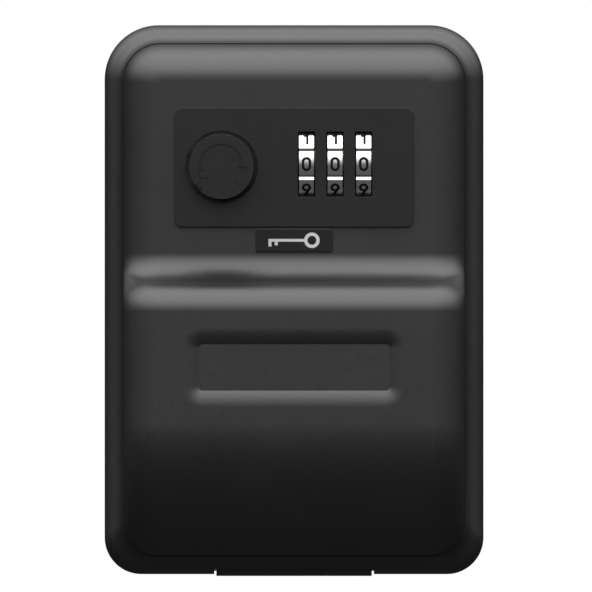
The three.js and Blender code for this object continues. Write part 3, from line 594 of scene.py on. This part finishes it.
# ------------------------------------------------------------------ lock plate, knob, badge
plate = prism(
    "lock_plate",
    rounded(-PLATE_HALF_W, PLATE_HALF_W, LOCK_Z - PLATE_HALF_H, LOCK_Z + PLATE_HALF_H, 2.0, steps=12),
    -UPPER_Y - PLATE_T, -UPPER_Y,
)
slot_low, slot_high = DIAL_Z - SLOT_H / 2, DIAL_Z + SLOT_H / 2
slots = [rounded(x - SLOT_W / 2, x + SLOT_W / 2, slot_low, slot_high, 0.35, steps=5) for x in DIAL_X]
cut(
    plate,
    rod("t", KNOB_HOLE, -UPPER_Y - 3, -UPPER_Y + 1, (KNOB_X, 0, KNOB_Z), sides=96),
    *[prism("t", slot, -UPPER_Y - 3, -UPPER_Y + 1) for slot in slots],
)
settle(plate, "door", PAINT, 0.07, ["lock_face_plate"])


def arc_band(cx, cz, inner, outer, a0, a1, steps=40):
    inside = arc(cx, cz, inner, a0, a1, steps)
    return arc(cx, cz, outer, a0, a1, steps) + inside[::-1]


knob_back, knob_bore = -UPPER_Y - 0.3, -47
knob = lathe(
    "turn_knob",
    [
        (0, KNOB_FACE), (KNOB_R, KNOB_FACE), (KNOB_R, knob_back), (KNOB_NECK, knob_back),
        (KNOB_NECK, KNOB_NECK_END), (SHAFT_HOLE, KNOB_NECK_END), (SHAFT_HOLE, knob_bore), (0, knob_bore),
    ],
    (KNOB_X, 0, KNOB_Z), sides=128,
)
# The knob's marks: an arc, its arrow head, and an open padlock's body and shackle.
MARK = 0.45
soften(knob, 0.07, 2)
applied(knob)
marks = [
    arc_band(KNOB_X, KNOB_Z, 4.9, 5.8, 0, 180),
    [(KNOB_X + 4.2, KNOB_Z - 0.05), (KNOB_X + 5.4, KNOB_Z - 1.9), (KNOB_X + 6.6, KNOB_Z - 0.05)],
    rounded(KNOB_X - 5.75, KNOB_X - 3.45, 28.95, 31.5, 0.15, steps=3),
    arc_band(KNOB_X - 5.2, 32.55, 0.62, 0.98, 20, 255, 24),
]
cut(knob, *[prism("t", m, KNOB_FACE - 1, KNOB_FACE + MARK) for m in marks])
settle(knob, "knob", PAINT, stands_for=["knob"])

KEY_Y = -UPPER_Y - BADGE_T
settle(
    prism("badge_plate", rounded(-9.9, 9.9, 12.35, 18.25, 0.35, steps=5), KEY_Y, -UPPER_Y),
    "door", BADGE, 0.1, ["name_badge"],
)

# A plain key pictogram: ring bow, shaft and two bits.
key_top, key_under = KEY_Y - 0.05, KEY_Y + 0.02
key = box("badge_key", -6.6, 2.9, key_top, key_under, 14.95, 15.65)
bow = [(1.15, key_top), (2.0, key_top), (2.0, key_under), (1.15, key_under)]
join(
    key,
    lathe("t", bow, (4.6, 0, 15.3)),
    box("t", -6.6, -5.8, key_top, key_under, 13.7, 15.1),
    box("t", -5.0, -4.2, key_top, key_under, 14.0, 15.1),
)
settle(key, "door", PRINT, weighted=False)


# ------------------------------------------------------------------ number wheels
TURN = 36


def wheel(number, x):
    ring = []
    for land in range(10):
        turns = [(land * TURN + mix(i / 8, -DIAL_LAND, DIAL_LAND), DIAL_R) for i in range(9)]
        turns.append((land * TURN + TURN / 2, DIAL_GROOVE))
        for angle, r in turns:
            a = math.radians(angle)
            ring.append((DIAL_Y - r * math.cos(a), DIAL_Z + r * math.sin(a)))
    n = len(ring)
    verts = [(px, y, z) for px in (x - DIAL_W / 2, x + DIAL_W / 2) for y, z in ring]
    faces = [tuple(range(n)), tuple(range(2 * n - 1, n - 1, -1))]
    faces += [(i, (i + 1) % n, n + (i + 1) % n, n + i) for i in range(n)]
    obj = mesh_object(f"dial_wheel_{number}", verts, faces)
    cut(obj, rod("t", 2.05, x - 5, x + 5, (0, DIAL_Y, DIAL_Z), "X"))
    settle(obj, f"dial_{number}", CHROME, 0.09, [f"number_wheel_{number}"], sharp=24)


def line(*points, step=0.12):
    out = [points[0]]
    for a, b in zip(points, points[1:]):
        count = max(1, int(math.dist(a, b) / step))
        for i in range(1, count + 1):
            out.append((mix(i / count, a[0], b[0]), mix(i / count, a[1], b[1])))
    return out


# Centre lines of the figures, drawn on a field 1.8 mm wide and 3.0 mm tall.
FIGURES = {
    0: [arc(0, 0.62, 0.88, 0, 180) + arc(0, -0.62, 0.88, 180, 360) + [(0.88, 0.62)]],
    1: [line((-0.42, 0.85), (0.22, 1.5), (0.22, -1.5))],
    2: [arc(0, 0.62, 0.88, 170, -38) + line((0.69, 0.08), (-0.88, -1.5), (0.92, -1.5))],
    3: [arc(0, 0.75, 0.75, 150, -80), arc(0, -0.68, 0.82, 85, -150)],
    4: [line((0.3, 1.5), (-0.95, -0.62), (0.95, -0.62)), line((0.42, 0.35), (0.42, -1.5))],
    5: [line((0.8, 1.5), (-0.7, 1.5), (-0.78, 0.2)) + arc(0, -0.6, 0.9, 118, -140)],
    6: [arc(0, -0.6, 0.88, 90, 450), line((0.3, 1.5), (-0.78, -0.2))],
    7: [line((-0.88, 1.5), (0.88, 1.5), (-0.25, -1.5))],
    8: [arc(0, 0.78, 0.72, 0, 360), arc(0, -0.65, 0.85, 0, 360)],
    9: [arc(0, 0.6, 0.88, 0, 360), line((0.8, 0.25), (-0.3, -1.5))],
}
STROKE = 0.34


def ribbon(points, half):
    """Left and right edge points of a stroke of even width, and whether it closes on itself."""
    closed = math.dist(points[0], points[-1]) < 1e-6
    count = len(points)
    sides = []
    for i, (px, pz) in enumerate(points):
        a = points[i - 1] if i else (points[-2] if closed else points[0])
        b = points[i + 1] if i + 1 < count else (points[1] if closed else points[-1])
        dx, dz = b[0] - a[0], b[1] - a[1]
        size = math.hypot(dx, dz) or 1.0
        nx, nz = -dz / size * half, dx / size * half
        sides.append(((px + nx, pz + nz), (px - nx, pz - nz)))
    return sides, closed


def figures(number, x):
    verts, faces = [], []

    def spot(u, v, land, lift):
        a = math.radians(land * TURN) + v / DIAL_R
        r = DIAL_R + lift
        return (x + u, DIAL_Y - r * math.cos(a), DIAL_Z + r * math.sin(a))

    for land, strokes in FIGURES.items():
        for points in strokes:
            sides, closed = ribbon(points, STROKE)
            rows = [[left, right] for left, right in sides]
            if not closed:
                for end, inward in ((0, 1), (-1, -2)):
                    (px, pz), (qx, qz) = points[end], points[inward]
                    out = math.atan2(pz - qz, px - qx)
                    caps = []
                    for k in range(1, 5):
                        half = math.acos(k / 5)
                        pair = [
                            (px + STROKE * math.cos(t), pz + STROKE * math.sin(t))
                            for t in (out + half, out - half)
                        ]
                        caps.append(pair if end else [pair[1], pair[0]])
                    rows = rows + caps if end else list(reversed(caps)) + rows
            base = len(verts)
            for left, right in rows:
                for lift in (0.02, -0.04):
                    verts += [spot(*left, land, lift), spot(*right, land, lift)]
            for i in range(len(rows) - 1):
                a, b = base + 4 * i, base + 4 * i + 4
                faces += [(a, a + 1, b + 1, b), (a + 2, b + 2, b + 3, a + 3)]
                faces += [(a, b, b + 2, a + 2), (a + 1, a + 3, b + 3, b + 1)]
            if not closed:
                last = base + 4 * (len(rows) - 1)
                faces.append((base, base + 2, base + 3, base + 1))
                faces.append((last, last + 1, last + 3, last + 2))
    obj = mesh_object(f"dial_figures_{number}", verts, faces)
    settle(obj, f"dial_{number}", INK, weighted=False)


for number, x in enumerate(DIAL_X, 1):
    wheel(number, x)
    figures(number, x)


# ------------------------------------------------------------------ screws and springs
def cross_screw(name, node, body, x, z, seat, side, head, shank, length, axis="Y", y=0.0):
    """Domed screw with a cross recess. Its head stands on seat, towards side along the axis."""
    profile = [(0, seat - side * length), (shank * 0.55, seat - side * length)]
    profile += [(shank, seat - side * (length - shank * 0.8)), (shank, seat), (head, seat)]
    for i in range(9):
        a = math.pi / 2 * i / 8
        radius = head * math.cos(a) if i < 8 else 0
        profile.append((radius, seat + side * (0.35 + 0.72 * math.sin(a))))
    centre = (x, 0, z) if axis == "Y" else (x, y, 0)
    screw = lathe(name, profile, centre, axis, 40)
    top, deep = seat + side * 2, seat + side * 0.3
    y0, y1 = min(top, deep), max(top, deep)
    arm, half = head * 0.58, 0.22
    for sx, sz in ((arm, half), (half, arm)):
        if axis == "Y":
            cut(screw, box("t", x - sx, x + sx, y0, y1, z - sz, z + sz))
        else:
            cut(screw, box("t", x - sx, x + sx, y - sz, y + sz, y0, y1))
    settle(screw, body, TURNED, 0.04, [node])


COVER_REAR = -21.7
COVER_CORNERS = (-26.2, -11.2), (26.2, -11.2), (26.2, 11.2), (-26.2, 11.2)
for i, (dx, dz) in enumerate(COVER_CORNERS, 1):
    cross_screw(
        f"cover_screw_head_{i}", f"cover_screw_{i}", "door", dx, LOCK_Z + dz, COVER_REAR, 1, 1.9, 0.95, 7,
    )
for i, x in enumerate((-32, 32), 1):
    cross_screw(f"lock_screw_head_{i}", f"lock_screw_{i}", "door", x, LOCK_Z, -38, 1, 2.1, 1, 3.7)
for i, x in enumerate((-HOOK_SCREW_X, HOOK_SCREW_X), 1):
    cross_screw(
        f"hook_screw_head_{i}", f"hook_screw_{i}", "case", x, HOOK_SCREW_Z, -4.2, -1, 2.6, 1.3, 3.2,
    )
for i, dx in enumerate((-6, 6), 1):
    cross_screw(
        f"striker_screw_head_{i}", f"striker_screw_{i}", "case",
        KNOB_X + dx, 0, 66.3, -1, 2.1, 1.1, 2.7, "Z", -14,
    )


def coil(name, radius, wire, t0, t1, turns, centre, axis):
    sections, sides = turns * 36, 12
    verts, faces = [], []
    for i in range(sections + 1):
        a = 2 * math.pi * turns * i / sections
        along = t0 + wire + (t1 - t0 - 2 * wire) * i / sections
        for j in range(sides):
            b = 2 * math.pi * j / sides
            out, t = radius + wire * math.cos(b), along + wire * math.sin(b)
            u, v = out * math.cos(a), out * math.sin(a)
            verts.append(Vector((t, u, v) if axis == "X" else (u, t, v)) + Vector(centre))
    for i in range(sections):
        for j in range(sides):
            k = (j + 1) % sides
            a = i * sides
            faces.append((a + j, a + k, a + sides + k, a + sides + j))
    faces += [tuple(range(sides)), tuple(sections * sides + j for j in range(sides))]
    return mesh_object(name, verts, faces)


settle(
    coil("spindle_coil", 2.75, 0.38, 23.39, 27.37, 3, (0, DIAL_Y, DIAL_Z), "X"),
    "door", TURNED, stands_for=["spindle_spring"],
)
settle(
    coil("reset_coil", 1.7, 0.26, -31.15, -27.05, 3, (RESET_X, 0, RESET_Z), "Y"),
    "door", TURNED, stands_for=["reset_spring"],
)


# ------------------------------------------------------------------ carried-over CAD nodes
def polish(node, material, width=0.12):
    obj = NODES[node]
    obj.data.shade_smooth()
    weld = obj.modifiers.new("weld", "WELD")
    weld.merge_threshold = 2e-6
    flat = obj.modifiers.new("planes", "DECIMATE")
    flat.decimate_type = "DISSOLVE"
    flat.angle_limit = math.radians(1)
    mod = soften(obj, width * MM, 2, 38)
    mod.harden_normals = True
    obj.data.materials.clear()
    obj.data.materials.append(material)


for node, material, width in (
    ("hinge_pin", TURNED, 0.1),
    ("seal_strip", RUBBER, 0.12),
    ("striker_plate", STEEL, 0.2),
    ("hook_strip", STEEL, 0.2),
    ("lock_body", PAINT, 0.15),
    ("dial_spindle", TURNED, 0.1),
    ("spindle_spacer", BRASS, 0.1),
    ("spindle_clip", STEEL, 0.05),
    ("detent_spring", STEEL, 0.04),
    ("lock_back_cover", CAST, 0.25),
    ("shaft_bush", BRASS, 0.1),
    ("code_disc_1", BRASS, 0.1),
    ("code_disc_2", BRASS, 0.1),
    ("code_disc_3", BRASS, 0.1),
    ("knob_shaft", TURNED, 0.1),
    ("drive_cam", STEEL, 0.1),
    ("cam_spacer", BRASS, 0.1),
    ("latch_cam", STEEL, 0.2),
    ("cam_nut", STEEL, 0.2),
    ("fence_bar", BRASS, 0.1),
    ("reset_button", RED, 0.2),
):
    polish(node, material, width)


# ------------------------------------------------------------------ stage
LENS, SENSOR = 1000.0, 36.0
VIEW_WIDTH = 0.15293
RIM_PLANE = -0.030
camera = bpy.data.objects.new("camera", bpy.data.cameras.new("camera"))
camera.data.lens = LENS
camera.data.sensor_width = SENSOR
camera.data.clip_end = 20
distance = VIEW_WIDTH * LENS / SENSOR
camera.location = (0.0005, RIM_PLANE - distance, 0.00095)
camera.rotation_euler = (math.pi / 2, 0, 0)
SCENE.collection.objects.link(camera)
SCENE.camera = camera

FLOOR_Z = -0.32
disk = bmesh.new()
bmesh.ops.create_circle(disk, cap_ends=True, radius=2.2, segments=96)
floor_mesh = bpy.data.meshes.new("floor")
disk.to_mesh(floor_mesh)
disk.free()
floor = bpy.data.objects.new("floor", floor_mesh)
floor.location = (0, 0, FLOOR_Z)
floor.visible_glossy = False
floor.visible_diffuse = False
SCENE.collection.objects.link(floor)
pale, tree, shader, source = node_material("floor_pale")
pale_tint = tint(tree, noise(tree, source, 3), (0.78, 0.78, 0.78), (0.84, 0.84, 0.84))
tree.links.new(pale_tint, shader.inputs["Base Color"])
shader.inputs["Roughness"].default_value = 0.9
floor_mesh.materials.append(pale)


def build_world():
    """White to the camera. For light: a wide soft dome, bright overhead, dim below and behind."""
    world = bpy.data.worlds.new("studio")
    world.use_nodes = True
    SCENE.world = world
    tree = world.node_tree
    tree.nodes.clear()
    new, link = tree.nodes.new, tree.links.new

    def calc(kind, a, b=None):
        node = new("ShaderNodeMath")
        node.operation = kind
        for slot, value in zip(node.inputs, (a, b)):
            if isinstance(value, (int, float)):
                slot.default_value = value
            elif value is not None:
                link(value, slot)
        return node.outputs[0]

    coords = new("ShaderNodeTexCoord")
    split = new("ShaderNodeSeparateXYZ")
    link(coords.outputs["Generated"], split.inputs[0])
    ramp = new("ShaderNodeMapRange")
    ramp.interpolation_type = "SMOOTHSTEP"
    for key, value in (("From Min", -0.031), ("From Max", 0.698), ("To Min", 0.0), ("To Max", 5.1)):
        ramp.inputs[key].default_value = value
    link(split.outputs["Z"], ramp.inputs["Value"])
    front = calc("SUBTRACT", 1.0, calc("MAXIMUM", split.outputs["Y"], 0.0))
    aside = calc("ABSOLUTE", split.outputs["X"])
    dome = calc("MULTIPLY", ramp.outputs["Result"], calc("POWER", front, 2.04))
    narrowing = calc("MULTIPLY", calc("POWER", aside, 2.0), 0.257)
    dome = calc("MULTIPLY", dome, calc("SUBTRACT", 1.0, narrowing))
    fill = calc("SUBTRACT", 0.168, calc("MULTIPLY", aside, 0.098))
    fill = calc("MULTIPLY", calc("POWER", front, 0.835), fill)
    lit = new("ShaderNodeBackground")
    link(calc("ADD", dome, fill), lit.inputs["Strength"])
    white = new("ShaderNodeBackground")
    white.inputs["Strength"].default_value = 1.0
    for node in (lit, white):
        node.inputs["Color"].default_value = (1, 1, 1, 1)
    path = new("ShaderNodeLightPath")
    blend = new("ShaderNodeMixShader")
    link(path.outputs["Is Camera Ray"], blend.inputs[0])
    link(lit.outputs[0], blend.inputs[1])
    link(white.outputs[0], blend.inputs[2])
    out = new("ShaderNodeOutputWorld")
    link(blend.outputs[0], out.inputs["Surface"])


build_world()
SCENE.view_settings.view_transform = "Standard"
SCENE.view_settings.look = "None"
